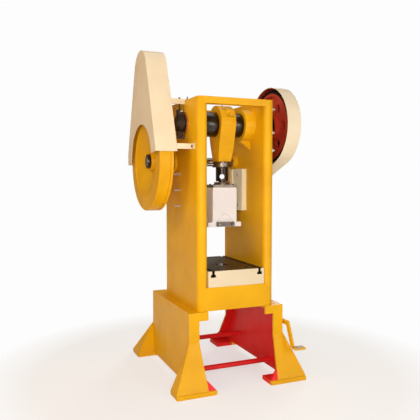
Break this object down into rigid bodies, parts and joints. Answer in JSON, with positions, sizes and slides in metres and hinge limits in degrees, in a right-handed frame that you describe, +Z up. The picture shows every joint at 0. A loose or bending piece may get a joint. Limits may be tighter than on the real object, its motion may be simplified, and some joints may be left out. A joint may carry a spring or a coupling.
{
  "type": "mechanical stamping press",
  "caption": "Straight-sided geared crank press on splayed stands, with flywheel, belt and gear guards, guided ram, T-slotted bolster and foot pedal clutch.",
  "frame": {"origin": "on the floor, below the middle of the frame's opening", "axes": "+Z up, the ram travels along it; -Y is the operator's side; +X to the operator's right, toward the gear guard"},
  "size_m": [1.254, 1.387, 2.8535],
  "materials": {
    "yellow_paint": "gloss enamel",
    "cream_paint": "gloss enamel",
    "red_paint": "gloss enamel",
    "white_paint": "satin enamel",
    "machined_steel": "machined",
    "dark_steel": "oiled",
    "cast_iron": "machined",
    "bronze": "machined",
    "lining": "woven"
  },
  "bodies": {
    "frame": {"press_frame": "yellow_paint", "left_stand": "yellow_paint", "right_stand": "yellow_paint", "tie_bars": "red_paint", "frame_bolts": "dark_steel", "bolster": "cream_paint", "bolster_bolts": "dark_steel", "crank_bushes": "bronze", "back_shaft_bushes": "bronze", "shaft_housings": "yellow_paint", "housing_bolts": "dark_steel", "left_guide": "cream_paint", "right_guide": "cream_paint", "guide_bolts": "dark_steel", "guide_nuts": "dark_steel", "gear_guard": "cream_paint", "belt_guard": "cream_paint", "guard_bolts": "dark_steel", "brake_lining": "lining", "brake_band": "dark_steel", "brake_bolt": "machined_steel", "brake_spring": "machined_steel", "brake_anchor": "machined_steel", "pedal_pivot": "machined_steel", "trip_pivot": "machined_steel"},
    "crank": {"crankshaft": "machined_steel", "crank_keys": "dark_steel", "clutch_collar": "dark_steel", "end_plate": "machined_steel", "end_plate_bolts": "dark_steel", "brake_drum": "cast_iron"},
    "rod": {"connecting_rod": "yellow_paint", "rod_cap": "yellow_paint", "rod_bushes": "bronze", "rod_bolts": "dark_steel", "adjusting_screw": "dark_steel", "lock_nut": "dark_steel", "nut_bar": "dark_steel"},
    "ram": {"ram": "white_paint", "ball_seat": "bronze", "ball_cap": "dark_steel", "cap_bolts": "dark_steel", "clamp_studs": "machined_steel"},
    "tool_clamp": {"clamp_block": "dark_steel", "clamp_bar": "dark_steel", "clamp_nuts": "dark_steel"},
    "flywheel": {"flywheel": "yellow_paint", "flywheel_nut": "dark_steel", "back_shaft": "machined_steel", "shaft_keys": "dark_steel", "pinion": "machined_steel"},
    "bull_gear": {"bull_gear": "red_paint", "gear_bush": "bronze"},
    "pedal": {"pedal_lever": "yellow_paint", "pedal_link_pin": "machined_steel"},
    "pull_rod": {"pull_rod": "machined_steel"},
    "trip_lever": {"trip_lever": "dark_steel", "trip_link_pin": "machined_steel"}
  },
  "joints": [
    {"name": "crank_turn", "type": "hinge", "parent": "frame", "child": "crank", "pos_m": [0, -0.105, 2.21], "axis": [-1, 0, 0], "range_deg": [0, 180]},
    {"name": "rod_swing", "type": "hinge", "parent": "crank", "child": "rod", "pos_m": [0, -0.105, 2.23], "axis": [-1, 0, 0], "range_deg": [-180, 0]},
    {"name": "ram_slide", "type": "slide", "parent": "frame", "child": "ram", "axis": [0, 0, 1], "range_m": [-0.04, 0]},
    {"name": "clamp_open", "type": "slide", "parent": "ram", "child": "tool_clamp", "axis": [0, -1, 0], "range_m": [0, 0.006]},
    {"name": "flywheel_spin", "type": "hinge", "parent": "frame", "child": "flywheel", "pos_m": [0, 0.17, 1.89255], "axis": [1, 0, 0], "continuous": true},
    {"name": "bull_gear_spin", "type": "hinge", "parent": "frame", "child": "bull_gear", "pos_m": [0, -0.105, 2.21], "axis": [1, 0, 0], "continuous": true},
    {"name": "pedal_press", "type": "hinge", "parent": "frame", "child": "pedal", "pos_m": [0.464, -0.3, 0.488], "axis": [1, 0, 0], "range_deg": [0, 5], "stiffness_Nm_per_rad": 200, "springref_deg": -3.44},
    {"name": "pull_rod_lift", "type": "slide", "parent": "frame", "child": "pull_rod", "axis": [0, 0, 1], "range_m": [0, 0.0229]},
    {"name": "trip_swing", "type": "hinge", "parent": "frame", "child": "trip_lever", "pos_m": [0.436, 0.06, 1.985], "axis": [-1, 0, 0], "range_deg": [0, 13.1]}
  ],
  "couplings": [
    {"joint": "rod_swing", "follows": "crank_turn", "ratio": -1},
    {"joint": "ram_slide", "follows": "crank_turn", "m_per_rad": -0.012732},
    {"joint": "bull_gear_spin", "follows": "flywheel_spin", "ratio": -0.3125},
    {"joint": "pull_rod_lift", "follows": "pedal_press", "m_per_rad": 0.26},
    {"joint": "trip_swing", "follows": "pedal_press", "ratio": 2.6}
  ]
}
